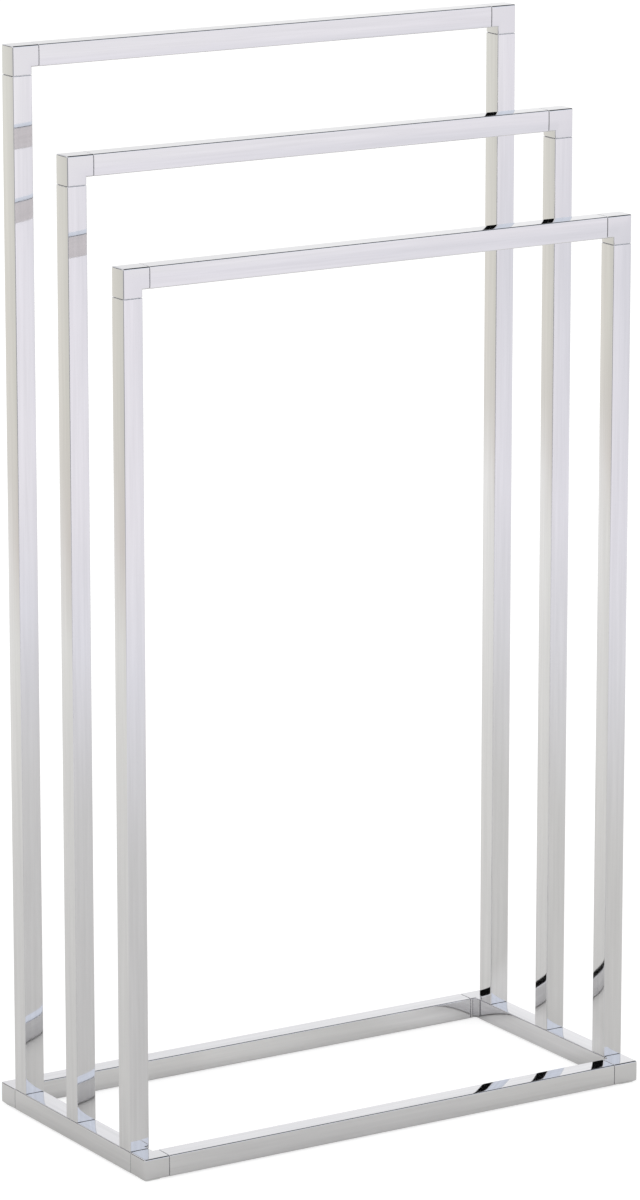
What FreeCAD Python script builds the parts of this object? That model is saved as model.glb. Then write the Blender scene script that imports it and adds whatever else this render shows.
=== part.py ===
import FreeCAD, Part
import os
import Sketcher

# Freestanding towel stand of chromed square tube. Three inverted-U frames, each taller than the one in
# front of it, stand on the side rails of a rectangular base frame.
# Millimetres. X runs left to right, Y front to back, Z up. The origin is on the floor, in the middle.

SIZES = (
    # The stand as a whole
    ("stand_width", 478.0, "base frame, left to right, and every upright frame over its posts"),
    ("stand_depth", 235.0, "base frame, front to back"),
    ("front_height", 733.0, "floor to the top of the front crossbar"),
    ("middle_height", 809.0, "floor to the top of the middle crossbar"),
    ("rear_height", 885.0, "floor to the top of the rear crossbar"),
    # Square tube
    ("tube_side", 18.0, "outer side of the square tube and of the castings that join it"),
    ("tube_wall", 1.0, "wall of the square tube"),
    ("edge_round", 1.2, "outer edge radius of tubes and castings"),
    ("seam_gap", 0.25, "open seam between a casting's end and the tube pushed onto it"),
    # Top elbows and base corners
    ("elbow_leg", 24.0, "outer length of each leg of a top elbow"),
    ("corner_leg", 23.0, "outer length of each leg of a base corner"),
    ("spigot_length", 22.0, "how far a spigot stands out of its leg"),
    ("spigot_gap", 0.15, "between a spigot and the inner wall of its tube"),
    ("fin_height", 1.7, "how far the fins of an elbow's spigot stand off its core"),
    ("fin_thickness", 1.6, "one fin, along the spigot"),
    ("fin_count", 4, "fins on each finned spigot"),
    ("lead_in", 0.8, "chamfer round the tip of a spigot or plug"),
    # Post fixing: a tapped plug in the post's foot, and a bolt up into it through the side rail
    ("plug_length", 26.0, "tapped plug in the foot of a post"),
    ("bolt_size", 6.0, "thread of the post bolt"),
    ("bolt_length", 25.0, "post bolt, under its head"),
    ("bolt_head_size", 10.0, "diameter of the bolt's cylindrical head"),
    ("bolt_head_height", 6.0, "height of the bolt's head"),
    ("bolt_key", 5.0, "hexagon socket of the bolt, across flats"),
    ("bolt_key_depth", 3.0, "depth of the bolt's socket"),
    ("bolt_hole", 6.6, "clearance hole for the bolt"),
    ("thread_gap", 0.05, "radial play between a thread and its tapped hole"),
    ("access_hole", 12.0, "hole below each post for the bolt's head, and slot of a forked spigot"),
    # Foot pads under the base corners
    ("pad_side", 14.0, "side of a square foot pad"),
    ("pad_height", 1.0, "thickness of a foot pad"),
)

# Sizes that follow from the ones above, as expressions on the sheet
SIDE = "Sizes.tube_side"
HALF_SIDE = "Sizes.tube_side / 2"
BORE = "(Sizes.tube_side - 2 * Sizes.tube_wall)"
SPIGOT = "(Sizes.tube_side - 2 * Sizes.tube_wall - 2 * Sizes.spigot_gap)"
ELBOW_REACH = "(Sizes.elbow_leg + Sizes.seam_gap)"
CORNER_REACH = "(Sizes.corner_leg + Sizes.seam_gap)"
HALF_WIDTH = "Sizes.stand_width / 2"
HALF_DEPTH = "Sizes.stand_depth / 2"
RAIL_MIDDLE = "(Sizes.pad_height + Sizes.tube_side / 2)"
RAIL_TOP = "(Sizes.pad_height + Sizes.tube_side)"
POST_X = "(Sizes.stand_width / 2 - Sizes.tube_side / 2)"
POST_Y = "(Sizes.stand_depth / 2 - %s - Sizes.tube_side / 2)" % CORNER_REACH
SIDE_RAIL_LENGTH = "(Sizes.stand_depth - 2 * %s)" % CORNER_REACH
CROSS_RAIL_LENGTH = "(Sizes.stand_width - 2 * %s)" % CORNER_REACH

LEFT_RIGHT = (("left", -1), ("right", 1))
# Name, height of the crossbar's top, and place in Y as a multiple of POST_Y
FRAMES = (
    ("front", "Sizes.front_height", -1),
    ("middle", "Sizes.middle_height", 0),
    ("rear", "Sizes.rear_height", 1),
)

X_AXIS = FreeCAD.Vector(1, 0, 0)
Y_AXIS = FreeCAD.Vector(0, 1, 0)
Z_AXIS = FreeCAD.Vector(0, 0, 1)
UPRIGHT = FreeCAD.Rotation()
# A tube's own Z is its length. Laid down, its own +Y face is its underside.
ALONG_X = FreeCAD.Rotation(-Y_AXIS, -Z_AXIS, X_AXIS, "XYZ")
ALONG_Y = FreeCAD.Rotation(X_AXIS, -Z_AXIS, Y_AXIS, "XYZ")
# An elbow's own X leg lies along the crossbar and its own Y leg points down.
ELBOW_TURN = {
    -1: FreeCAD.Rotation(X_AXIS, -Z_AXIS, Y_AXIS, "XYZ"),
    1: FreeCAD.Rotation(-X_AXIS, -Z_AXIS, -Y_AXIS, "XYZ"),
}
ON_EDGE = 1e-4

doc = FreeCAD.newDocument("towel_stand")
sheet = doc.addObject("Spreadsheet::Sheet", "Sizes")
subparts = []


def fill_sheet():
    for row, (name, value, note) in enumerate(SIZES, start=1):
        sheet.set("A%d" % row, note)
        sheet.set("B%d" % row, str(value))
        sheet.setAlias("B%d" % row, name)
    doc.recompute()


def number(expression):
    """The value of an expression on the sheet."""
    return float(sheet.evalExpression(expression))


def minus(expression):
    return "-(%s)" % expression


def new_body(label):
    body = doc.addObject("PartDesign::Body", label)
    body.Label = label
    subparts.append(body)
    return body


def place(body, x, y, z, turn=UPRIGHT):
    """Turns a finished body and ties its place to the sheet."""
    body.Placement = FreeCAD.Placement(FreeCAD.Vector(0, 0, 0), turn)
    for axis, expression in (("x", x), ("y", y), ("z", z)):
        body.setExpression("Placement.Base." + axis, expression)


def origin_feature(body, role):
    """One of the planes or axes of the body's own origin."""
    return [feature for feature in body.Origin.OriginFeatures if feature.Role == role][0]


def new_sketch(body, name, plane, **offset):
    """A sketch on one of the body's own planes, moved by the x, y and z given as expressions."""
    sketch = body.newObject("Sketcher::SketchObject", body.Label + "_" + name)
    sketch.AttachmentSupport = [(origin_feature(body, plane), "")]
    sketch.MapMode = "FlatFace"
    for axis, expression in offset.items():
        sketch.setExpression("AttachmentOffset.Base." + axis, expression)
    return sketch


def pin_point(sketch, geometry, point, u, v):
    """Holds one point of a sketch at u, v, each an expression or 0 for on the axis."""
    for kind, axis, expression in (("DistanceX", -2, u), ("DistanceY", -1, v)):
        if expression == "0":
            sketch.addConstraint(Sketcher.Constraint("PointOnObject", geometry, point, axis))
            continue
        value = number(expression)
        index = sketch.addConstraint(Sketcher.Constraint(kind, -1, 1, geometry, point, value))
        sketch.setExpression("Constraints[%d]" % index, expression)


def add_outline(sketch, corners):
    """A closed outline of straight lines, with every corner tied to the sheet."""
    points = [FreeCAD.Vector(number(u), number(v), 0) for u, v in corners]
    first = sketch.GeometryCount
    count = len(points)
    for index, point in enumerate(points):
        sketch.addGeometry(Part.LineSegment(point, points[(index + 1) % count]), False)
    for index in range(count):
        line = first + index
        next_line = first + (index + 1) % count
        sketch.addConstraint(Sketcher.Constraint("Coincident", line, 2, next_line, 1))
    for index, (u, v) in enumerate(corners):
        pin_point(sketch, first + index, 1, u, v)


def add_square(sketch, side, u="0", v="0"):
    """A square with its centre at u, v."""
    low_u, high_u = "%s - %s / 2" % (u, side), "%s + %s / 2" % (u, side)
    low_v, high_v = "%s - %s / 2" % (v, side), "%s + %s / 2" % (v, side)
    add_outline(sketch, ((low_u, low_v), (high_u, low_v), (high_u, high_v), (low_u, high_v)))


def add_circle(sketch, diameter, u="0", v="0"):
    centre = FreeCAD.Vector(number(u), number(v), 0)
    circle = sketch.addGeometry(Part.Circle(centre, Z_AXIS, number(diameter) / 2), False)
    pin_point(sketch, circle, 3, u, v)
    index = sketch.addConstraint(Sketcher.Constraint("Diameter", circle, number(diameter)))
    sketch.setExpression("Constraints[%d]" % index, diameter)


def add_hexagon(sketch, across_flats):
    far = "%s / sqrt(3)" % across_flats
    near = "%s / sqrt(3) / 2" % across_flats
    half = "%s / 2" % across_flats
    add_outline(sketch, (
        (far, "0"), (near, half), (minus(near), half),
        (minus(far), "0"), (minus(near), minus(half)), (near, minus(half)),
    ))


def pad(body, sketch, length, name="pad", reverse=False, middle=False):
    feature = body.newObject("PartDesign::Pad", body.Label + "_" + name)
    feature.Profile = sketch
    feature.Reversed = reverse
    feature.Midplane = middle
    feature.setExpression("Length", length)
    doc.recompute()
    return feature


def pocket(body, sketch, name, length=None, reverse=False):
    """Cuts along the sketch's back, or its front if reversed: to a length, or right through."""
    before = body.Shape.Volume
    feature = body.newObject("PartDesign::Pocket", body.Label + "_" + name)
    feature.Profile = sketch
    feature.Reversed = reverse
    if length is None:
        feature.Type = "ThroughAll"
    else:
        feature.setExpression("Length", length)
    doc.recompute()
    check_cut(body, name, before)
    return feature


def revolve(body, sketch, axis, name="turned"):
    feature = body.newObject("PartDesign::Revolution", body.Label + "_" + name)
    feature.Profile = sketch
    feature.ReferenceAxis = (sketch, [axis])
    feature.Angle = 360
    doc.recompute()
    return feature


def check_cut(body, name, before):
    if not body.Shape.Volume < before:
        raise RuntimeError("%s: %s cuts nothing" % (body.Label, name))


def edges_where(shape, test):
    """The names of the straight edges whose direction and middle pass the test."""
    names = []
    for index, edge in enumerate(shape.Edges, start=1):
        start, end = edge.Vertexes[0].Point, edge.Vertexes[-1].Point
        span = start.distanceToPoint(end)
        straight = span > ON_EDGE and edge.Length < span + ON_EDGE
        if straight and test((end - start).normalize(), (start + end) * 0.5):
            names.append("Edge%d" % index)
    return names


def round_edges(body, base, test, radius, name):
    feature = body.newObject("PartDesign::Fillet", body.Label + "_" + name)
    feature.Base = (base, edges_where(base.Shape, test))
    feature.setExpression("Radius", radius)
    doc.recompute()
    return feature


def chamfer_edges(body, base, test, size, name):
    feature = body.newObject("PartDesign::Chamfer", body.Label + "_" + name)
    feature.Base = (base, edges_where(base.Shape, test))
    feature.setExpression("Size", size)
    doc.recompute()
    return feature


# Square tubes

def make_tube(label, length):
    """A square tube with rounded edges, its axis on its own Z."""
    body = new_body(label)
    section = new_sketch(body, "section", "XY_Plane")
    add_square(section, SIDE)
    add_square(section, BORE)
    drawn = pad(body, section, length, "drawn")
    outside = number(HALF_SIDE) - ON_EDGE

    def long_edge(direction, middle):
        return abs(direction.z) > 0.5 and abs(middle.x) > outside

    round_edges(body, drawn, long_edge, "Sizes.edge_round", "rounded")
    return body


def make_crossbar(frame, height, row):
    body = make_tube(frame + "_crossbar", "Sizes.stand_width - 2 * %s" % ELBOW_REACH)
    place(body, "-%s + %s" % (HALF_WIDTH, ELBOW_REACH), "%d * %s" % (row, POST_Y),
          "%s - %s" % (height, HALF_SIDE), ALONG_X)


def make_post(frame, height, row, side, hand):
    body = make_tube("%s_%s_post" % (frame, side), "%s - %s - %s" % (height, ELBOW_REACH, RAIL_TOP))
    place(body, "%d * %s" % (hand, POST_X), "%d * %s" % (row, POST_Y), RAIL_TOP)


def make_cross_rail(end, row):
    """The front or rear rail."""
    body = make_tube("base_%s_rail" % end, CROSS_RAIL_LENGTH)
    place(body, "-%s + %s" % (HALF_WIDTH, CORNER_REACH), "%d * (%s - %s)" % (row, HALF_DEPTH, HALF_SIDE),
          RAIL_MIDDLE, ALONG_X)


def make_side_rail(side, hand):
    """The left or right rail: under each post, a bolt hole above and an access hole below."""
    body = make_tube("base_%s_rail" % side, SIDE_RAIL_LENGTH)
    posts = ["%s / 2 + %d * %s" % (SIDE_RAIL_LENGTH, row, POST_Y) for _, _, row in FRAMES]
    access = new_sketch(body, "access_holes", "XZ_Plane")
    for post in posts:
        add_circle(access, "Sizes.access_hole", "0", post)
    pocket(body, access, "access")
    bolt_holes = new_sketch(body, "bolt_holes", "XZ_Plane")
    for post in posts:
        add_circle(bolt_holes, "Sizes.bolt_hole", "0", post)
    pocket(body, bolt_holes, "bolt_clearance", reverse=True)
    place(body, "%d * (%s - %s)" % (hand, HALF_WIDTH, HALF_SIDE), "-%s + %s" % (HALF_DEPTH, CORNER_REACH),
          RAIL_MIDDLE, ALONG_Y)


# Castings: an L of the tube's own section, with a spigot on the end of each leg. The outer corner is at
# the origin, the legs lie along +X and +Y, and Z = 0 is the middle of the section.

def make_angle(label, leg):
    body = new_body(label)
    outline = new_sketch(body, "outline", "XY_Plane")
    add_outline(outline, (("0", "0"), (leg, "0"), (leg, SIDE), (SIDE, SIDE), (SIDE, leg), ("0", leg)))
    block = pad(body, outline, SIDE, "block", middle=True)
    face = number(HALF_SIDE) - ON_EDGE
    end = number(leg) - ON_EDGE

    def section_edge(direction, middle):
        return abs(middle.z) > face and max(middle.x, middle.y) < end

    round_edges(body, block, section_edge, "Sizes.edge_round", "rounded")
    return body


# For each leg: the sketch plane across it, the sign of the offset to its end, and whether a pad from
# that plane has to be reversed to run outwards
LEG_ACROSS = {
    "X": ("YZ_Plane", "", False),
    "Y": ("XZ_Plane", "-", True),
}


def tip_edges(leg_name, reach):
    """Picks the outline of a spigot's tip, which stands at reach along its leg."""
    tip = number(reach)
    half = number(SPIGOT) / 2 - ON_EDGE
    middle_line = number(HALF_SIDE)

    def test(direction, middle):
        along, across = (middle.x, middle.y) if leg_name == "X" else (middle.y, middle.x)
        on_outline = max(abs(across - middle_line), abs(middle.z)) > half
        return abs(along - tip) < ON_EDGE and on_outline

    return test


def add_forked_spigot(body, leg_name, leg):
    """A square spigot, slotted from its tip so that the post bolt and its head clear it."""
    plane, sign, reverse = LEG_ACROSS[leg_name]
    section = new_sketch(body, leg_name + "_spigot_section", plane, z=sign + leg)
    add_square(section, SPIGOT, HALF_SIDE)
    spigot = pad(body, section, "Sizes.spigot_length", leg_name + "_spigot", reverse)
    tip = leg + " + Sizes.spigot_length"
    chamfer_edges(body, spigot, tip_edges(leg_name, tip), "Sizes.lead_in", leg_name + "_lead_in")
    root = "%s + %s - Sizes.access_hole / 2" % (CORNER_REACH, HALF_SIDE)
    mouth = tip + " + Sizes.lead_in"
    low, high = ("%s %s Sizes.access_hole / 2" % (HALF_SIDE, sign) for sign in "-+")
    slot = new_sketch(body, "slot_outline", "XY_Plane", z=HALF_SIDE)
    if leg_name == "X":
        add_outline(slot, ((root, low), (mouth, low), (mouth, high), (root, high)))
    else:
        add_outline(slot, ((low, root), (high, root), (high, mouth), (low, mouth)))
    pocket(body, slot, "slot")


def add_finned_spigot(body, leg_name, leg):
    """A square core with a row of fins that fill the tube's bore."""
    plane, sign, reverse = LEG_ACROSS[leg_name]
    core_section = new_sketch(body, leg_name + "_core_section", plane, z=sign + leg)
    add_square(core_section, "(%s - 2 * Sizes.fin_height)" % SPIGOT, HALF_SIDE)
    pad(body, core_section, "Sizes.spigot_length", leg_name + "_core", reverse)
    fin_section = new_sketch(body, leg_name + "_fin_section", plane, z=sign + leg)
    add_square(fin_section, SPIGOT, HALF_SIDE)
    fin = pad(body, fin_section, "Sizes.fin_thickness", leg_name + "_fin", reverse)
    fins = body.newObject("PartDesign::LinearPattern", "%s_%s_fins" % (body.Label, leg_name))
    fins.Originals = [fin]
    fins.Direction = (origin_feature(body, leg_name + "_Axis"), [""])
    fins.setExpression("Length", "Sizes.spigot_length - Sizes.fin_thickness")
    fins.setExpression("Occurrences", "Sizes.fin_count")
    body.Tip = fins
    doc.recompute()
    chamfer_edges(body, fins, tip_edges(leg_name, leg + " + Sizes.spigot_length"), "Sizes.lead_in",
                  leg_name + "_lead_in")


def make_elbow(frame, height, row, side, hand):
    body = make_angle("%s_%s_elbow" % (frame, side), "Sizes.elbow_leg")
    for leg_name in LEG_ACROSS:
        add_finned_spigot(body, leg_name, "Sizes.elbow_leg")
    place(body, "%d * %s" % (hand, HALF_WIDTH), "%d * %s" % (row, POST_Y), height, ELBOW_TURN[hand])


def make_corner(end, side, turn_degrees, side_leg, cross_leg, row, hand):
    """A base corner. side_leg names the leg in the side rail and cross_leg the one in the other rail."""
    body = make_angle("base_%s_%s_corner" % (end, side), "Sizes.corner_leg")
    add_finned_spigot(body, cross_leg, "Sizes.corner_leg")
    add_forked_spigot(body, side_leg, "Sizes.corner_leg")
    place(body, "%d * %s" % (hand, HALF_WIDTH), "%d * %s" % (row, HALF_DEPTH), RAIL_MIDDLE,
          FreeCAD.Rotation(Z_AXIS, turn_degrees))


# Fasteners

def make_plug(frame, row, side, hand):
    """The tapped block pressed into the foot of a post."""
    body = new_body("%s_%s_post_plug" % (frame, side))
    section = new_sketch(body, "section", "XY_Plane")
    add_square(section, SPIGOT)
    add_circle(section, "Sizes.bolt_size + 2 * Sizes.thread_gap")
    block = pad(body, section, "Sizes.plug_length", "block")
    top = number("Sizes.plug_length") - ON_EDGE
    chamfer_edges(body, block, lambda direction, middle: middle.z > top, "Sizes.lead_in", "lead_in")
    place(body, "%d * %s" % (hand, POST_X), "%d * %s" % (row, POST_Y), RAIL_TOP)


def make_bolt(frame, row, side, hand):
    """A cylinder-head bolt, thread up, with its own Z = 0 under the head."""
    body = new_body("%s_%s_post_bolt" % (frame, side))
    section = new_sketch(body, "section", "XZ_Plane")
    head, shank = "Sizes.bolt_head_size / 2", "Sizes.bolt_size / 2"
    bottom, tip = minus("Sizes.bolt_head_height"), "Sizes.bolt_length"
    add_outline(section, (("0", bottom), (head, bottom), (head, "0"), (shank, "0"), (shank, tip), ("0", tip)))
    revolve(body, section, "V_Axis")
    socket = new_sketch(body, "socket_outline", "XY_Plane", z=bottom)
    add_hexagon(socket, "Sizes.bolt_key")
    pocket(body, socket, "socket", "Sizes.bolt_key_depth", reverse=True)
    place(body, "%d * %s" % (hand, POST_X), "%d * %s" % (row, POST_Y), "%s - Sizes.tube_wall" % RAIL_TOP)


def make_foot_pad(end, side, row, hand):
    """A thin square pad stuck under a base corner."""
    body = new_body("%s_%s_foot_pad" % (end, side))
    outline = new_sketch(body, "outline", "XY_Plane")
    add_square(outline, "Sizes.pad_side")
    pad(body, outline, "Sizes.pad_height")
    place(body, "%d * (%s - %s)" % (hand, HALF_WIDTH, HALF_SIDE),
          "%d * (%s - %s)" % (row, HALF_DEPTH, HALF_SIDE), "0")


def make_upright_frames():
    for frame, height, row in FRAMES:
        make_crossbar(frame, height, row)
        for side, hand in LEFT_RIGHT:
            make_post(frame, height, row, side, hand)
            make_elbow(frame, height, row, side, hand)
            make_plug(frame, row, side, hand)
            make_bolt(frame, row, side, hand)


def make_base():
    for end, row in (("front", -1), ("rear", 1)):
        make_cross_rail(end, row)
    for side, hand in LEFT_RIGHT:
        make_side_rail(side, hand)
    corners = (
        ("front", "left", 0, "Y", "X", -1, -1),
        ("front", "right", 90, "X", "Y", -1, 1),
        ("rear", "right", 180, "Y", "X", 1, 1),
        ("rear", "left", 270, "X", "Y", 1, -1),
    )
    for end, side, turn_degrees, side_leg, cross_leg, row, hand in corners:
        make_corner(end, side, turn_degrees, side_leg, cross_leg, row, hand)
        make_foot_pad(end, side, row, hand)


def export():
    for feature in doc.Objects:
        if "Invalid" in feature.State or "Error" in feature.State:
            raise RuntimeError("%s did not build: %s" % (feature.Name, feature.State))
    os.makedirs("parts", exist_ok=True)
    for body in subparts:
        shape = body.Shape
        if shape.isNull() or not shape.isValid() or len(shape.Solids) != 1:
            raise RuntimeError("%s is not one valid solid" % body.Label)
        shape.exportStep("parts/%s.step" % body.Label)
    print("%d sub-parts" % len(subparts))


fill_sheet()
make_upright_frames()
make_base()
doc.recompute()
export()
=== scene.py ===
import math

import bmesh
import bpy
from mathutils import Matrix, Vector


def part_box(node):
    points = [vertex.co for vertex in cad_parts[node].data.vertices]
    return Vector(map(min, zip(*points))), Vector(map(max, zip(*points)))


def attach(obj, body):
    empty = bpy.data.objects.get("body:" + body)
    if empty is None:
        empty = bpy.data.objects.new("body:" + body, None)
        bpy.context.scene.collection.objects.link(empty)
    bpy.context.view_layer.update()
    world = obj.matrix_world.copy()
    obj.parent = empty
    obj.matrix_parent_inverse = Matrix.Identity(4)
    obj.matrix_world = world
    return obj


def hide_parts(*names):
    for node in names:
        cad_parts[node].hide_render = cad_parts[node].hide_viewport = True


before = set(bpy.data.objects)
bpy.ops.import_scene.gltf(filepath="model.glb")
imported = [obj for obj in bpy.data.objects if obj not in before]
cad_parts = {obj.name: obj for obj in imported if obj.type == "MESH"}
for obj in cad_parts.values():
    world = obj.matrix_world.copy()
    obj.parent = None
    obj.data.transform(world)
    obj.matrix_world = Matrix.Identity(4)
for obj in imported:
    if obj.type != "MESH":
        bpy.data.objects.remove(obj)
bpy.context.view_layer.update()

# Freestanding towel stand of chromed square tube: three upright frames on a floor frame.
# Metres. X runs along the crossbars, Y from the lowest frame to the tallest, Z up.

MM = 0.001
BODY = "root"

# Sizes of the real pieces
TUBE_SIDE = 18 * MM
TUBE_WALL = 1.0 * MM
TUBE_EDGE_ROUND = 0.8 * MM
CASTING_EDGE_ROUND = 1.2 * MM
EDGE_STEPS = 6
WALL_CROWN = 0.20 * MM
CROWN_STEPS = 12
MITRE_SOFTNESS = 5 * MM
RIM_ROUND = 0.4 * MM
RIM_STEPS = 3
ELBOW_SEAM = 0.15 * MM
CORNER_SEAM = 0.35 * MM
ELBOW_LEG = 24 * MM
CORNER_LEG = 23 * MM
SPIGOT_SIDE = 15.7 * MM
SPIGOT_LENGTH = 22 * MM
SPIGOT_LEAD_IN = 0.8 * MM
FIN_HEIGHT = 1.7 * MM
FIN_THICKNESS = 1.6 * MM
FIN_COUNT = 4
FORK_ROOT = 3.25 * MM
FORK_SLOT = 12 * MM
ACCESS_HOLE = 12 * MM
BOLT_HOLE = 6.6 * MM
HOLE_STEPS = 48
PLUG_BORE = 6.1 * MM
PLUG_STEPS = 32
BOLT_SIZE = 6 * MM
BOLT_PITCH = 1.0 * MM
BOLT_THREAD_DEPTH = 0.5 * MM
BOLT_THREAD_LENGTH = 20 * MM
BOLT_HEAD_SIZE = 10 * MM
BOLT_HEAD_HEIGHT = 6 * MM
BOLT_KEY = 5 * MM
BOLT_KEY_DEPTH = 3 * MM
BOLT_KNURL = 0.12 * MM
BOLT_STEPS = 48
PAD_CORNER_ROUND = 2.0 * MM
PAD_EDGE_ROUND = 0.25 * MM

FRAMES = ("front", "middle", "rear")
SIDES = ("left", "right")
ENDS = ("front", "rear")
X_AXIS = Vector((1, 0, 0))
Y_AXIS = Vector((0, 1, 0))
Z_AXIS = Vector((0, 0, 1))
AXES = (X_AXIS, Y_AXIS, Z_AXIS)
ALIGNED = 0.99
SHARP_TURN = math.radians(40)
SAME_POINT = MM / 1000

# The camera stands to the left of the front and looks down on the stand
CAMERA_TURN = math.radians(32.12)
CAMERA_TILT = math.radians(13.49)
CAMERA_DISTANCE = 4.610
CAMERA_AIM = Vector((-0.0032, -0.0035, 0.4233))
CAMERA_LENS_MM = 169.6
CAMERA_SEES_TO = 100

FLOOR_RADIUS = 30.0
FLOOR_STEPS = 64
FLOOR_LIFT = 0.75


# Colours

def linear(hex_colour):
    """An sRGB colour such as #C0C0C0 as linear red, green, blue and alpha."""
    channels = [int(hex_colour[at:at + 2], 16) / 255 for at in (1, 3, 5)]
    return tuple(c / 12.92 if c <= 0.04045 else ((c + 0.055) / 1.055) ** 2.4 for c in channels) + (1.0,)


def add_node(tree, kind, inputs=None, stops=(), **settings):
    """Adds a node with its settings. An input takes a value or another node's socket."""
    node = tree.nodes.new(kind)
    for name, value in settings.items():
        setattr(node, name, value)
    for name, value in (inputs or {}).items():
        if isinstance(value, bpy.types.NodeSocket):
            tree.links.new(value, node.inputs[name])
        else:
            node.inputs[name].default_value = value
    for index, (position, colour) in enumerate(stops):
        elements = node.color_ramp.elements
        stop = elements[index] if index < 2 else elements.new(position)
        stop.position = position
        stop.color = linear(colour)
    return node


# Materials

def new_material(name):
    """A material with an empty node tree but for its output."""
    material = bpy.data.materials.new(name)
    material.use_nodes = True
    tree = material.node_tree
    tree.nodes.clear()
    output = add_node(tree, "ShaderNodeOutputMaterial")
    place = add_node(tree, "ShaderNodeTexCoord").outputs["Object"]
    return material, tree, output, place


def make_chromed_tube(name, along):
    """Bright nickel-chrome plate on drawn and polished steel tube. The drawn walls aren't quite flat, so
    reflections bow in long waves along the tube. Polishing leaves lines in the same direction, drawn coarser
    than the real ones so that they show, and long streaks that are a little brighter or duller."""
    material, tree, output, place = new_material(name)
    wave_length, wave_width = 140 * MM, 26 * MM
    line_spacing, line_length = 1.1 * MM, 90 * MM
    streak_width, streak_length = 3.0 * MM, 110 * MM
    smear_size = 60 * MM
    wave_scale = [1 / wave_width] * 3
    wave_scale[along] = 1 / wave_length
    line_scale = [1 / line_spacing] * 3
    line_scale[along] = 1 / line_length
    streak_scale = [1 / streak_width] * 3
    streak_scale[along] = 1 / streak_length
    stretched = add_node(tree, "ShaderNodeMapping", {"Vector": place, "Scale": wave_scale})
    waves = add_node(tree, "ShaderNodeTexNoise", {
        "Vector": stretched.outputs[0], "Scale": 1.0, "Detail": 1.0, "Roughness": 0.4})
    combed = add_node(tree, "ShaderNodeMapping", {"Vector": place, "Scale": line_scale})
    lines = add_node(tree, "ShaderNodeTexNoise", {
        "Vector": combed.outputs[0], "Scale": 1.0, "Detail": 2.0, "Roughness": 0.6})
    bowed = add_node(tree, "ShaderNodeBump", {
        "Height": waves.outputs[0], "Strength": 1.0, "Distance": 0.10 * MM})
    polished = add_node(tree, "ShaderNodeBump", {
        "Height": lines.outputs[0], "Strength": 0.25, "Distance": 0.002 * MM, "Normal": bowed.outputs[0]})
    drawn_out = add_node(tree, "ShaderNodeMapping", {"Vector": place, "Scale": streak_scale})
    streaks = add_node(tree, "ShaderNodeTexNoise", {
        "Vector": drawn_out.outputs[0], "Scale": 1.0, "Detail": 3.0, "Roughness": 0.6})
    plate = add_node(tree, "ShaderNodeValToRGB", {"Fac": streaks.outputs[0]},
                     stops=((0.3, "#E0E0E3"), (0.7, "#E9E9EC"))).outputs["Color"]
    smears = add_node(tree, "ShaderNodeTexNoise", {
        "Vector": place, "Scale": 1 / smear_size, "Detail": 3.0, "Roughness": 0.55})
    roughness = add_node(tree, "ShaderNodeMapRange", {
        "Value": smears.outputs[0], "From Min": 0.3, "From Max": 0.75, "To Min": 0.028, "To Max": 0.060})
    shader = add_node(tree, "ShaderNodeBsdfPrincipled", {
        "Base Color": plate, "Metallic": 1.0, "Roughness": roughness.outputs[0],
        "Normal": polished.outputs[0]})
    tree.links.new(shader.outputs[0], output.inputs["Surface"])
    return material


def make_chromed_casting():
    """Bright chrome on a polished zinc casting. Hand polishing leaves it a little softer and more rippled
    than the tube, like the skin of an orange."""
    material, tree, output, place = new_material("chrome_on_cast_zinc")
    ripple_size, swell_size, smear_size = 3.2 * MM, 22 * MM, 30 * MM
    ripples = add_node(tree, "ShaderNodeTexNoise", {
        "Vector": place, "Scale": 1 / ripple_size, "Detail": 1.0, "Roughness": 0.4})
    swell = add_node(tree, "ShaderNodeTexNoise", {
        "Vector": place, "Scale": 1 / swell_size, "Detail": 1.0, "Roughness": 0.4})
    swollen = add_node(tree, "ShaderNodeBump", {
        "Height": swell.outputs[0], "Strength": 1.0, "Distance": 0.10 * MM})
    rippled = add_node(tree, "ShaderNodeBump", {
        "Height": ripples.outputs[0], "Strength": 0.35, "Distance": 0.006 * MM,
        "Normal": swollen.outputs[0]})
    smears = add_node(tree, "ShaderNodeTexNoise", {
        "Vector": place, "Scale": 1 / smear_size, "Detail": 3.0, "Roughness": 0.55})
    roughness = add_node(tree, "ShaderNodeMapRange", {
        "Value": smears.outputs[0], "From Min": 0.3, "From Max": 0.75, "To Min": 0.035, "To Max": 0.075})
    shader = add_node(tree, "ShaderNodeBsdfPrincipled", {
        "Base Color": linear("#E2E2E5"), "Metallic": 1.0, "Roughness": roughness.outputs[0],
        "Normal": rippled.outputs[0]})
    tree.links.new(shader.outputs[0], output.inputs["Surface"])
    return material


def make_machined_steel():
    """Bare mild steel, sawn and milled. The cutter leaves close parallel marks and a dull grey."""
    material, tree, output, place = new_material("milled_mild_steel")
    mark_spacing, mark_length = 0.5 * MM, 12 * MM
    combed = add_node(tree, "ShaderNodeMapping", {
        "Vector": place, "Scale": (1 / mark_length, 1 / mark_length, 1 / mark_spacing)})
    marks = add_node(tree, "ShaderNodeTexNoise", {
        "Vector": combed.outputs[0], "Scale": 1.0, "Detail": 2.0, "Roughness": 0.6})
    milled = add_node(tree, "ShaderNodeBump", {
        "Height": marks.outputs[0], "Strength": 0.6, "Distance": 0.02 * MM})
    tone = add_node(tree, "ShaderNodeValToRGB", {"Fac": marks.outputs[0]},
                    stops=((0.35, "#9A9B9D"), (0.7, "#B4B5B6")))
    shader = add_node(tree, "ShaderNodeBsdfPrincipled", {
        "Base Color": tone.outputs[0], "Metallic": 1.0, "Roughness": 0.38, "Normal": milled.outputs[0]})
    tree.links.new(shader.outputs[0], output.inputs["Surface"])
    return material


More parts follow.
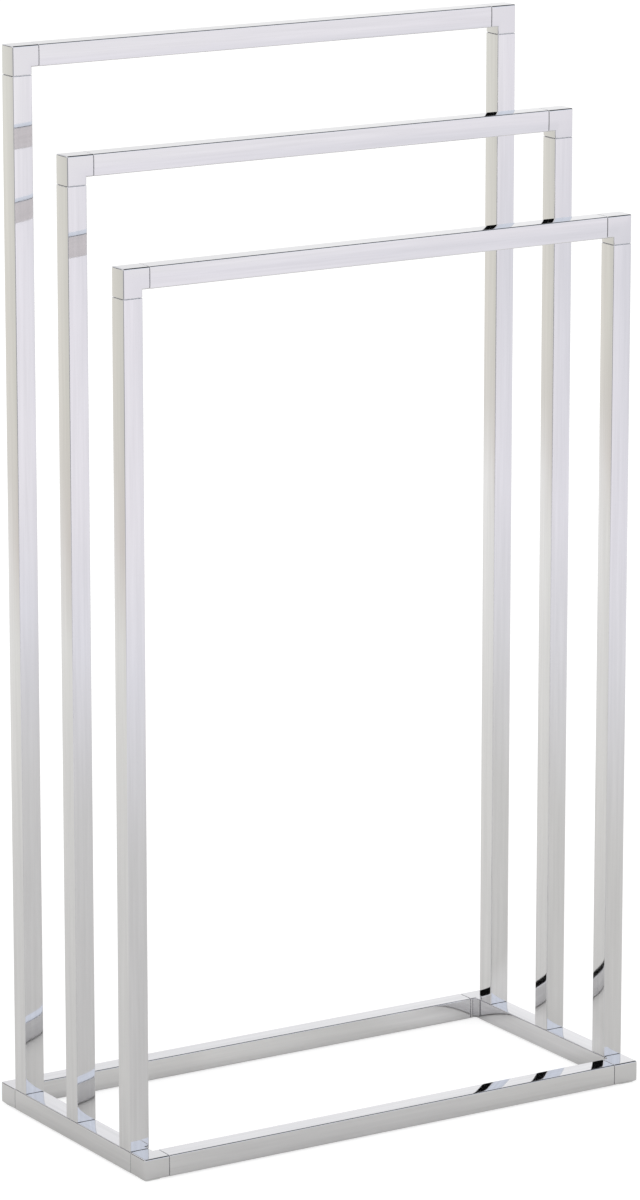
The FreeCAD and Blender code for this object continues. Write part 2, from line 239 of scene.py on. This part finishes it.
def make_zinc_plate():
    """Bright zinc plate on a steel bolt: bluish grey with faint mottling and a soft sheen."""
    material, tree, output, place = new_material("bright_zinc_plate")
    spangle_size = 1.5 * MM
    spangle = add_node(tree, "ShaderNodeTexVoronoi", {"Vector": place, "Scale": 1 / spangle_size})
    tone = add_node(tree, "ShaderNodeValToRGB", {"Fac": spangle.outputs["Distance"]},
                    stops=((0.0, "#BCC1C6"), (0.9, "#CDD0D2")))
    roughness = add_node(tree, "ShaderNodeMapRange", {
        "Value": spangle.outputs["Distance"], "To Min": 0.22, "To Max": 0.32})
    shader = add_node(tree, "ShaderNodeBsdfPrincipled", {
        "Base Color": tone.outputs[0], "Metallic": 1.0, "Roughness": roughness.outputs[0]})
    tree.links.new(shader.outputs[0], output.inputs["Surface"])
    return material


def make_pad_rubber():
    """Clear-grey soft vinyl pad, slightly milky and finely pebbled from its mould."""
    material, tree, output, place = new_material("clear_grey_vinyl")
    pebble_size = 0.4 * MM
    pebbles = add_node(tree, "ShaderNodeTexNoise", {
        "Vector": place, "Scale": 1 / pebble_size, "Detail": 2.0})
    pebbled = add_node(tree, "ShaderNodeBump", {
        "Height": pebbles.outputs[0], "Strength": 0.4, "Distance": 0.03 * MM})
    tone = add_node(tree, "ShaderNodeValToRGB", {"Fac": pebbles.outputs[0]},
                    stops=((0.3, "#C9CAC8"), (0.7, "#D3D4D2")))
    shader = add_node(tree, "ShaderNodeBsdfPrincipled", {
        "Base Color": tone.outputs[0], "Roughness": 0.45, "IOR": 1.49, "Normal": pebbled.outputs[0]})
    tree.links.new(shader.outputs[0], output.inputs["Surface"])
    return material


# Meshes

def direction(edge):
    return (edge.verts[1].co - edge.verts[0].co).normalized()


def middle(edge):
    return (edge.verts[0].co + edge.verts[1].co) / 2


def round_off(mesh, edges, radius, steps):
    bmesh.ops.bevel(mesh, geom=edges, offset=radius, offset_type="OFFSET", segments=steps, profile=0.5,
                    affect="EDGES", material=-1, clamp_overlap=True)


def finish_piece(mesh, name, material, nodes, turn=Matrix.Identity(4)):
    """Turns a bmesh in place into a smooth-shaded piece that stands for its CAD nodes."""
    mesh.transform(turn)
    bmesh.ops.remove_doubles(mesh, verts=mesh.verts, dist=SAME_POINT)
    bmesh.ops.recalc_face_normals(mesh, faces=mesh.faces)
    if mesh.calc_volume(signed=True) < 0:
        bmesh.ops.reverse_faces(mesh, faces=mesh.faces)
    for face in mesh.faces:
        face.smooth = True
    for edge in mesh.edges:
        edge.smooth = edge.is_manifold and edge.calc_face_angle(math.pi) < SHARP_TURN
    data = bpy.data.meshes.new(name)
    mesh.to_mesh(data)
    mesh.free()
    data.materials.append(material)
    piece = bpy.data.objects.new(name, data)
    bpy.context.scene.collection.objects.link(piece)
    flat_faces = piece.modifiers.new("flat_faces", "WEIGHTED_NORMAL")
    flat_faces.keep_sharp = True
    flat_faces.weight = 100
    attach(piece, BODY)
    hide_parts(*nodes)
    return piece


def slice_walls(mesh, across, centre, chosen):
    """Cuts the chosen faces into even strips over a wall's flat width."""
    flat = TUBE_SIDE / 2 - CASTING_EDGE_ROUND
    for step in range(1, CROWN_STEPS):
        place = across * (centre + flat * (2 * step / CROWN_STEPS - 1))
        faces = [f for f in mesh.faces if chosen(f)]
        parts = {part for f in faces for part in (f, *f.edges, *f.verts)}
        bmesh.ops.bisect_plane(mesh, geom=list(parts), plane_co=place, plane_no=across)


def drawn_tube(length):
    """A square tube along Z, centred on the origin. Its walls stand out a little along their middles."""
    mesh = bmesh.new()
    bmesh.ops.create_cube(mesh, size=1)
    bmesh.ops.scale(mesh, vec=(TUBE_SIDE, TUBE_SIDE, length), verts=mesh.verts)
    round_off(mesh, [e for e in mesh.edges if abs(direction(e).z) > ALIGNED], TUBE_EDGE_ROUND, EDGE_STEPS)
    caps = [f for f in mesh.faces if abs(f.normal.z) > ALIGNED]
    bmesh.ops.delete(mesh, geom=caps, context="FACES")
    for across in (X_AXIS, Y_AXIS):
        slice_walls(mesh, across, 0, lambda face: True)
    half = TUBE_SIDE / 2
    for vert in mesh.verts:
        x, y = vert.co.x / half, vert.co.y / half
        vert.co.x -= WALL_CROWN * x * y * y
        vert.co.y -= WALL_CROWN * y * x * x
    bmesh.ops.recalc_face_normals(mesh, faces=mesh.faces)
    bmesh.ops.solidify(mesh, geom=mesh.faces[:], thickness=TUBE_WALL)
    bmesh.ops.recalc_face_normals(mesh, faces=mesh.faces)
    inside = TUBE_SIDE / 2 - TUBE_WALL / 2

    def on_outer_rim(edge):
        at_end = all(abs(abs(v.co.z) - length / 2) < TUBE_WALL / 10 for v in edge.verts)
        return at_end and all(max(abs(v.co.x), abs(v.co.y)) > inside for v in edge.verts) and edge.is_manifold

    rims = [e for e in mesh.edges if on_outer_rim(e)]
    rims = [e for e in rims if e.calc_face_angle(0) > SHARP_TURN]
    round_off(mesh, rims, RIM_ROUND, RIM_STEPS)
    return mesh


def lay(long_axis, centre):
    """The turn and shift that lay a piece made along Z with its length on a given axis."""
    return Matrix.Translation(centre) @ Z_AXIS.rotation_difference(long_axis).to_matrix().to_4x4()


def place_tube(node, materials):
    """A post, crossbar or cross rail, as long as its CAD solid and in its place."""
    low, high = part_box(node)
    along = longest_axis(high - low)
    mesh = drawn_tube((high - low)[along])
    turn = lay(AXES[along], (low + high) / 2)
    return finish_piece(mesh, node + "_tube", materials[along], [node], turn)


def place_drilled_tube(node, posts, materials):
    """A side rail: under each post a bolt hole in the top wall, and a wider one below for the bolt's head."""
    low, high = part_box(node)
    centre = (low + high) / 2
    tube = drawn_tube(high.y - low.y)
    tube.transform(lay(Y_AXIS, centre))
    drills = bmesh.new()
    for post in posts:
        post_low, post_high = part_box(post)
        hole = Vector(((post_low.x + post_high.x) / 2, (post_low.y + post_high.y) / 2, centre.z))
        for diameter, toward in ((BOLT_HOLE, 1), (ACCESS_HOLE, -1)):
            middle_of_drill = hole + Z_AXIS * toward * TUBE_SIDE / 2
            bmesh.ops.create_cone(drills, cap_ends=True, segments=HOLE_STEPS, radius1=diameter / 2,
                                  radius2=diameter / 2, depth=TUBE_SIDE / 2,
                                  matrix=Matrix.Translation(middle_of_drill))
    mesh = cut_away(tube, drills)
    return finish_piece(mesh, node + "_tube", materials[1], [node])


def cut_away(solid, cutter):
    """One bmesh less another."""
    objects = []
    for mesh in (solid, cutter):
        data = bpy.data.meshes.new("cutting")
        mesh.to_mesh(data)
        mesh.free()
        objects.append(bpy.data.objects.new("cutting", data))
        bpy.context.scene.collection.objects.link(objects[-1])
    drilled = objects[0].modifiers.new("drilled", "BOOLEAN")
    drilled.object = objects[1]
    drilled.solver = "EXACT"
    result = bpy.data.meshes.new_from_object(objects[0].evaluated_get(bpy.context.evaluated_depsgraph_get()))
    left = bmesh.new()
    left.from_mesh(result)
    for done in objects:
        bpy.data.objects.remove(done)
    return left


# Castings: an L of the tube's section, with its outer corner at the origin and its legs along +X and +Y

def end_face(mesh, leg_axis):
    """The face that closes a leg: the one that lies furthest along its axis."""
    facing = [f for f in mesh.faces if f.normal.dot(leg_axis) > ALIGNED]
    return max(facing, key=lambda f: f.calc_center_median().dot(leg_axis) + f.calc_area())


def grow(mesh, face, step):
    """Pushes a face out, leaves walls behind it and returns it."""
    pushed = bmesh.ops.extrude_discrete_faces(mesh, faces=[face])["faces"][0]
    bmesh.ops.translate(mesh, vec=step, verts=pushed.verts)
    return pushed


def resize(mesh, face, factor):
    """Steps a face's outline in or out within its own plane and returns it."""
    stepped = grow(mesh, face, Vector())
    about_centre = Matrix.Translation(-stepped.calc_center_median())
    bmesh.ops.scale(mesh, vec=(factor, factor, factor), space=about_centre, verts=stepped.verts)
    return stepped


def lead_in(mesh, face, leg_axis):
    """Ends a spigot with a chamfer on its outer outline only."""
    tip = grow(mesh, face, leg_axis * SPIGOT_LEAD_IN)
    reach = SPIGOT_SIDE / 2 - SPIGOT_LEAD_IN
    across = X_AXIS + Y_AXIS - leg_axis
    for vert in tip.verts:
        sideways = vert.co.dot(across) - TUBE_SIDE / 2
        vert.co += across * (max(-reach, min(reach, sideways)) - sideways)
        vert.co.z = max(-reach, min(reach, vert.co.z))


def add_finned_spigot(mesh, leg_axis):
    """A square core with fins that fill the tube's bore."""
    core = 1 - 2 * FIN_HEIGHT / SPIGOT_SIDE
    gap = (SPIGOT_LENGTH - FIN_COUNT * FIN_THICKNESS) / (FIN_COUNT - 1)
    face = root_of_spigot(mesh, leg_axis)
    for _ in range(FIN_COUNT - 1):
        face = grow(mesh, face, leg_axis * FIN_THICKNESS)
        face = resize(mesh, face, core)
        face = grow(mesh, face, leg_axis * gap)
        face = resize(mesh, face, 1 / core)
    face = grow(mesh, face, leg_axis * (FIN_THICKNESS - SPIGOT_LEAD_IN))
    lead_in(mesh, face, leg_axis)


def add_forked_spigot(mesh, leg_axis):
    """A square spigot, slotted from its tip so that the nearest post bolt clears it."""
    across = X_AXIS + Y_AXIS - leg_axis
    face = grow(mesh, root_of_spigot(mesh, leg_axis), leg_axis * FORK_ROOT)
    centre = face.calc_center_median()
    for side in (-1, 1):
        crown = [f for f in mesh.faces if (f.calc_center_median() - centre).dot(leg_axis) > -MM / 100]
        around = {part for f in crown for part in (f, *f.edges, *f.verts)}
        bmesh.ops.bisect_plane(mesh, geom=list(around), plane_co=centre + across * side * FORK_SLOT / 2,
                               plane_no=across)
    crown = [f for f in mesh.faces if (f.calc_center_median() - centre).dot(leg_axis) > -MM / 100]
    prongs = [f for f in crown if abs((f.calc_center_median() - centre).dot(across)) > FORK_SLOT / 2]
    for prong in prongs:
        prong = grow(mesh, prong, leg_axis * (SPIGOT_LENGTH - FORK_ROOT - SPIGOT_LEAD_IN))
        lead_in(mesh, prong, leg_axis)


def root_of_spigot(mesh, leg_axis):
    """Steps a leg's end face in to the spigot's size."""
    face = end_face(mesh, leg_axis)
    step_in = (TUBE_SIDE - SPIGOT_SIDE) / 2 - RIM_ROUND
    bmesh.ops.inset_individual(mesh, faces=[face], thickness=step_in, use_even_offset=True)
    return face


def angle_block(leg, seam):
    """The L itself, with its long edges and its outer corner rounded. Its legs end a hair short of the
    tubes, which leaves a dark seam."""
    leg -= seam
    mesh = bmesh.new()
    bmesh.ops.create_cube(mesh, size=TUBE_SIDE)
    bmesh.ops.translate(mesh, vec=(TUBE_SIDE / 2, TUBE_SIDE / 2, 0), verts=mesh.verts)
    for leg_axis in (X_AXIS, Y_AXIS):
        grow(mesh, end_face(mesh, leg_axis), leg_axis * (leg - TUBE_SIDE))
    bmesh.ops.recalc_face_normals(mesh, faces=mesh.faces)
    flush = [e for e in mesh.edges if e.calc_face_angle(0) < SHARP_TURN]
    bmesh.ops.dissolve_edges(mesh, edges=flush, use_verts=True)
    outer = [e for e in mesh.edges if max(middle(e).x, middle(e).y) < leg - MM / 10]
    inner_corner = [e for e in outer if min(middle(e).x, middle(e).y) > TUBE_SIDE - MM / 10
                    and abs(direction(e).z) > ALIGNED]
    rounded = [e for e in outer if e not in inner_corner]
    round_off(mesh, rounded, CASTING_EDGE_ROUND, EDGE_STEPS)
    for leg_axis in (X_AXIS, Y_AXIS):
        round_off(mesh, end_face(mesh, leg_axis).edges[:], RIM_ROUND, RIM_STEPS)

    def on_walls(face):
        centre = face.calc_center_median()
        return max(centre.x, centre.y) < leg - MM / 100

    slice_walls(mesh, X_AXIS, TUBE_SIDE / 2, on_walls)
    slice_walls(mesh, Y_AXIS, TUBE_SIDE / 2, on_walls)
    slice_walls(mesh, Z_AXIS, 0, on_walls)
    return mesh


def crown_casting(mesh):
    """Gives a finished casting the tubes' crowned section, which turns the corner in a soft mitre."""
    half = TUBE_SIDE / 2
    for vert in mesh.verts:
        x, y, z = vert.co
        nearer = (x + y - math.hypot(x - y, MITRE_SOFTNESS)) / 2
        across = max(-1, min(1, nearer / half - 1))
        rise = z / half
        vert.co.z -= WALL_CROWN * rise * across ** 2
        if y >= x:
            vert.co.x -= WALL_CROWN * (x / half - 1) * rise ** 2
        if x >= y:
            vert.co.y -= WALL_CROWN * (y / half - 1) * rise ** 2


def place_casting(node, name, mesh, legs, material):
    """Puts a casting where its CAD solid is, with its legs along two of the axes."""
    low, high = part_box(node)
    corner = (low + high) / 2
    for leg_axis in legs:
        along = longest_axis(leg_axis)
        corner[along] = low[along] if leg_axis[along] > 0 else high[along]
    crown_casting(mesh)
    turn = Matrix((legs[0], legs[1], legs[0].cross(legs[1]))).transposed().to_4x4()
    return finish_piece(mesh, name, material, [node], Matrix.Translation(corner) @ turn)


def longest_axis(vector):
    return max(range(3), key=lambda axis: abs(vector[axis]))


# Fasteners and feet

def place_plug(node, material):
    """The tapped block in a post's foot: a square with a chamfered upper end and a round bore."""
    low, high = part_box(node)
    centre = (low + high) / 2
    block, bore = bmesh.new(), bmesh.new()
    bmesh.ops.create_cube(block, size=1)
    bmesh.ops.scale(block, vec=high - low, verts=block.verts)
    upper = [e for e in block.edges if middle(e).z > 0 and abs(direction(e).z) < ALIGNED]
    round_off(block, upper, SPIGOT_LEAD_IN, 1)
    bmesh.ops.create_cone(bore, cap_ends=True, segments=PLUG_STEPS, radius1=PLUG_BORE / 2,
                          radius2=PLUG_BORE / 2, depth=2 * (high.z - low.z))
    mesh = cut_away(block, bore)
    return finish_piece(mesh, node + "_block", material, [node], Matrix.Translation(centre))


def bolt_profile(length):
    """Radius and height of the bolt's outline, from the socket's rim round to the tip."""
    head, shank, core = BOLT_HEAD_SIZE / 2, BOLT_SIZE / 2, BOLT_SIZE / 2 - BOLT_THREAD_DEPTH
    chamfer = 0.4 * MM
    outline = [
        (BOLT_KEY / 2, -BOLT_HEAD_HEIGHT), (head - chamfer, -BOLT_HEAD_HEIGHT),
        (head, chamfer - BOLT_HEAD_HEIGHT), (head, -chamfer), (head - chamfer, 0), (shank, 0),
    ]
    turns = round(BOLT_THREAD_LENGTH / BOLT_PITCH)
    for turn in range(turns):
        start = length - BOLT_THREAD_LENGTH + turn * BOLT_PITCH
        outline += [(shank, start), (core, start + BOLT_PITCH / 2)]
    return outline + [(core, length), (0, length)]


def place_bolt(node, material):
    """A socket-head bolt, thread up. Its thread is drawn as closed rings at the thread's pitch."""
    low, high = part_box(node)
    seat = Vector(((low.x + high.x) / 2, (low.y + high.y) / 2, low.z + BOLT_HEAD_HEIGHT))
    mesh = bmesh.new()
    points = [mesh.verts.new((radius, 0, height)) for radius, height in bolt_profile(high.z - seat.z)]
    for start, end in zip(points, points[1:]):
        mesh.edges.new((start, end))
    bmesh.ops.spin(mesh, geom=mesh.verts[:] + mesh.edges[:], cent=(0, 0, 0), axis=Z_AXIS,
                   angle=2 * math.pi, steps=BOLT_STEPS, use_merge=True)
    bmesh.ops.remove_doubles(mesh, verts=mesh.verts, dist=SAME_POINT)
    sixth = math.radians(60)
    for vert in mesh.verts:
        radius, turned = vert.co.xy.length, math.atan2(vert.co.y, vert.co.x)
        if radius < BOLT_KEY / 2 + MM / 100 and vert.co.z < -BOLT_KEY_DEPTH:
            out = 1 / math.cos((turned % sixth) - sixth / 2)
            vert.co.xy *= out
        on_knurl = radius > BOLT_HEAD_SIZE / 2 - MM / 100
        if on_knurl and round(turned / (2 * math.pi) * BOLT_STEPS) % 2:
            vert.co.xy *= 1 - BOLT_KNURL / radius
    rim = [e for e in mesh.edges if e.is_boundary]
    deeper = bmesh.ops.extrude_edge_only(mesh, edges=rim)["geom"]
    floor_verts = [part for part in deeper if isinstance(part, bmesh.types.BMVert)]
    bmesh.ops.translate(mesh, vec=Z_AXIS * BOLT_KEY_DEPTH, verts=floor_verts)
    bmesh.ops.contextual_create(mesh, geom=[e for e in mesh.edges if e.is_boundary])
    return finish_piece(mesh, node + "_m6", material, [node], Matrix.Translation(seat))


def place_pad(node, material):
    """A thin pad with round corners and a soft lower edge."""
    low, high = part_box(node)
    mesh = bmesh.new()
    bmesh.ops.create_cube(mesh, size=1)
    bmesh.ops.scale(mesh, vec=high - low, verts=mesh.verts)
    round_off(mesh, [e for e in mesh.edges if abs(direction(e).z) > ALIGNED], PAD_CORNER_ROUND, EDGE_STEPS)
    lower = [e for e in mesh.edges if middle(e).z < 0 and abs(direction(e).z) < ALIGNED]
    round_off(mesh, lower, PAD_EDGE_ROUND, RIM_STEPS)
    return finish_piece(mesh, node + "_vinyl", material, [node],
                        Matrix.Translation((low + high) / 2))


# The stand

def build_stand():
    tube_materials = [make_chromed_tube("chrome_on_drawn_tube_" + name, along)
                      for along, name in enumerate(("across", "deep", "upright"))]
    casting = make_chromed_casting()
    steel = make_machined_steel()
    zinc = make_zinc_plate()
    vinyl = make_pad_rubber()
    inward = {"left": X_AXIS, "right": -X_AXIS, "front": Y_AXIS, "rear": -Y_AXIS}
    for frame_name in FRAMES:
        place_tube(frame_name + "_crossbar", tube_materials)
        for side in SIDES:
            stem = "%s_%s" % (frame_name, side)
            place_tube(stem + "_post", tube_materials)
            elbow = angle_block(ELBOW_LEG, ELBOW_SEAM)
            add_finned_spigot(elbow, X_AXIS)
            add_finned_spigot(elbow, Y_AXIS)
            place_casting(stem + "_elbow", stem + "_elbow_casting", elbow, (inward[side], -Z_AXIS), casting)
            place_plug(stem + "_post_plug", steel)
            place_bolt(stem + "_post_bolt", zinc)
    for end in ENDS:
        place_tube("base_%s_rail" % end, tube_materials)
        for side in SIDES:
            corner = angle_block(CORNER_LEG, CORNER_SEAM)
            add_finned_spigot(corner, X_AXIS)
            add_forked_spigot(corner, Y_AXIS)
            node = "base_%s_%s_corner" % (end, side)
            place_casting(node, node + "_casting", corner, (inward[side], inward[end]), casting)
            place_pad("%s_%s_foot_pad" % (end, side), vinyl)
    for side in SIDES:
        place_drilled_tube("base_%s_rail" % side, ["%s_%s_post" % (name, side) for name in FRAMES],
                           tube_materials)


# Studio

def compass(degrees, elevation=0):
    """A direction: 0 degrees looks along +Y and 90 along +X."""
    turn, rise = math.radians(degrees), math.radians(elevation)
    return Vector((math.sin(turn) * math.cos(rise), math.cos(turn) * math.cos(rise), math.sin(rise)))


# Each card's heading and height in degrees, the degrees to its core and to its soft edge, and its colour
CARDS = (
    ("white overhead", -118, 40, 42, 58, "#FFFFFF"),
    ("dark overhead", 100, 55, 26, 46, "#2A2A2C"),
    ("pale back", 0, 34, 22, 40, "#F4F4F6"),
    ("white sweep", 62, 10, 24, 42, "#FFFFFF"),
    ("blue fill", 149, 12, 15, 24, "#F0F6FF"),
    ("black flag", -32.5, 14, 10, 11.5, "#0E0E0E"),
    ("pale ceiling", 0, 90, 18, 30, "#CFCFD1"),
)


def facing(tree, vector, toward, core, edge):
    """1 where a vector points within the core's degrees of a direction, and 0 past the edge's."""
    along = add_node(tree, "ShaderNodeVectorMath", {0: vector, 1: toward}, operation="DOT_PRODUCT")
    return add_node(tree, "ShaderNodeMapRange", {
        "Value": along.outputs["Value"], "From Min": math.cos(math.radians(edge)),
        "From Max": math.cos(math.radians(core))}, interpolation_type="SMOOTHSTEP").outputs[0]


def make_world():
    """White to the camera and for plain light. Mirrors see a room, pale low down and dark higher up, with
    cards of light and shade."""
    world = bpy.data.worlds.new("studio")
    world.use_nodes = True
    tree = world.node_tree
    tree.nodes.clear()
    heading = add_node(tree, "ShaderNodeTexCoord").outputs["Generated"]
    height = add_node(tree, "ShaderNodeSeparateXYZ", {"Vector": heading}).outputs["Z"]
    room = add_node(tree, "ShaderNodeValToRGB", {"Fac": height}, stops=(
        (0.0, "#DEDDDB"), (0.25, "#D1D0D2"), (0.6, "#707073"), (0.95, "#404043"))).outputs["Color"]
    for name, turn, rise, core, edge, colour in CARDS:
        mask = facing(tree, heading, compass(turn, rise), core, edge)
        room = add_node(tree, "ShaderNodeMix", {"Factor": mask, "A": room, "B": linear(colour)},
                        data_type="RGBA", label=name).outputs["Result"]
    in_mirror = add_node(tree, "ShaderNodeLightPath").outputs["Is Glossy Ray"]
    seen = add_node(tree, "ShaderNodeMix", {
        "Factor": in_mirror, "A": linear("#FFFFFF"), "B": room}, data_type="RGBA")
    light = add_node(tree, "ShaderNodeBackground", {"Color": seen.outputs["Result"]})
    output = add_node(tree, "ShaderNodeOutputWorld")
    tree.links.new(light.outputs[0], output.inputs["Surface"])
    bpy.context.scene.world = world


# The stand's front walls mirror the floor at the first of these headings, and the second is square to it,
# towards the stand's right
MIRRORED_FRONT = 148
MIRRORED_RIGHT = 58
# The floor as mirrors see it, by distance from the stand's middle in metres: painted light and shade, a
# painted reflection of the studio. It lies in bands of light that differ in front of and behind the stand,
# and to its left and right as the camera sees it, and its tones near the stand are darker as painted shade.
FLOOR_REACH = 6.0
MIRRORED_FLOOR_LIGHT_AND_SHADE = {
    "front left": ((0.2, "#D7D6D3"), (0.9, "#DCDBD9"), (1.6, "#F2F1F6"), (2.3, "#FCF9FD"),
                   (4.0, "#FDFAFF"), (5.8, "#FFFDFF")),
    "front right": ((0.2, "#D9D8D4"), (0.9, "#DCDBD7"), (1.6, "#EDECEE"), (2.3, "#F6F4F9"),
                    (4.0, "#EDECF1"), (5.8, "#FAF7FC")),
    "back left": ((0.2, "#DDDCD8"), (0.9, "#E2E1DD"), (1.8, "#EEEDE7"), (2.3, "#E0DAD2"),
                  (3.2, "#E1DFD4"), (5.8, "#E3E1D8")),
    "back right": ((0.2, "#E2E1DD"), (0.7, "#E8E7E2"), (2.2, "#FFFEFA"), (2.7, "#EEEBE3"),
                   (3.4, "#F2EEE4"), (5.8, "#F3F2E8")),
}
# Patches of painted light and shade that lie over those bands, painted shade toward the camera's side and
# paler painted light elsewhere: heading, degrees to the core and to the soft edge, the distances over which
# they fade in, and colour
PAINTED_LIGHT_AND_SHADE_PATCHES = (
    (38, 18, 37, 0.3, 0.6, "#F1EBE9"),
    (-148, 12, 44, 1.2, 3.0, "#A0A0A3"),
    (80, 12, 25, 0.12, 0.2, "#E9E8E5"),
)


def make_floor():
    """A pale floor. Seen directly it's white with a faint contact shadow. In mirrors it shows painted light
    and shade: darker near the stand, partly from real contact shadow and partly from painted shade, and
    lavender beyond it in front and warm grey behind as painted reflection."""
    material, tree, output, place = new_material("floor_with_painted_mirror_light")
    distance = add_node(tree, "ShaderNodeVectorMath", {0: place}, operation="LENGTH").outputs["Value"]
    outward = add_node(tree, "ShaderNodeVectorMath", {0: place}, operation="NORMALIZE").outputs[0]
    reach = add_node(tree, "ShaderNodeMapRange", {"Value": distance, "From Max": FLOOR_REACH}).outputs[0]
    to_right = facing(tree, outward, compass(MIRRORED_RIGHT), 80, 100)
    to_front = facing(tree, outward, compass(MIRRORED_FRONT), 60, 120)
    halves = []
    for half in ("back", "front"):
        left, right = [
            add_node(tree, "ShaderNodeValToRGB", {"Fac": reach}, label=half + side, stops=[
                (metres / FLOOR_REACH, tone) for metres, tone in MIRRORED_FLOOR_LIGHT_AND_SHADE[half + side]]).outputs["Color"]
            for side in (" left", " right")]
        halves.append(add_node(tree, "ShaderNodeMix", {"Factor": to_right, "A": left, "B": right},
                               data_type="RGBA").outputs["Result"])
    colour = add_node(tree, "ShaderNodeMix", {"Factor": to_front, "A": halves[0], "B": halves[1]},
                      data_type="RGBA").outputs["Result"]
    # Lays the patches of painted light and shade over the floor's colour in mirrors.
    for heading, core, edge, start, full, tone in PAINTED_LIGHT_AND_SHADE_PATCHES:
        strength = add_node(tree, "ShaderNodeMapRange", {
            "Value": distance, "From Min": start, "From Max": full,
            "To Max": facing(tree, outward, compass(heading), core, edge)},
            interpolation_type="SMOOTHSTEP").outputs[0]
        colour = add_node(tree, "ShaderNodeMix", {"Factor": strength, "A": colour, "B": linear(tone)},
                          data_type="RGBA").outputs["Result"]
    # In mirrors the floor shows the painted light and shade above, and the world's light adds real contact
    # shadow.
    mirrored = add_node(tree, "ShaderNodeBsdfDiffuse", {"Color": colour})
    painted = add_node(tree, "ShaderNodeBsdfDiffuse", {"Color": linear("#A0A0A0")})
    lifted = add_node(tree, "ShaderNodeEmission", {"Color": linear("#FFFFFF"), "Strength": FLOOR_LIFT})
    direct = add_node(tree, "ShaderNodeAddShader", {0: painted.outputs[0], 1: lifted.outputs[0]})
    in_mirror = add_node(tree, "ShaderNodeLightPath").outputs["Is Glossy Ray"]
    seen = add_node(tree, "ShaderNodeMixShader", {
        "Fac": in_mirror, 1: direct.outputs[0], 2: mirrored.outputs[0]})
    tree.links.new(seen.outputs[0], output.inputs["Surface"])
    mesh = bmesh.new()
    bmesh.ops.create_circle(mesh, cap_ends=True, segments=FLOOR_STEPS, radius=FLOOR_RADIUS)
    data = bpy.data.meshes.new("floor")
    mesh.to_mesh(data)
    mesh.free()
    data.materials.append(material)
    floor = bpy.data.objects.new("floor", data)
    bpy.context.scene.collection.objects.link(floor)


def make_camera():
    camera = bpy.data.objects.new("camera", bpy.data.cameras.new("camera"))
    camera.data.lens = CAMERA_LENS_MM
    camera.data.clip_end = CAMERA_SEES_TO
    looking = compass(math.degrees(CAMERA_TURN), -math.degrees(CAMERA_TILT))
    camera.location = CAMERA_AIM - looking * CAMERA_DISTANCE
    camera.rotation_euler = looking.to_track_quat("-Z", "Y").to_euler()
    bpy.context.scene.collection.objects.link(camera)
    bpy.context.scene.camera = camera


build_stand()
make_world()
make_floor()
make_camera()
bpy.context.scene.view_settings.view_transform = "Standard"
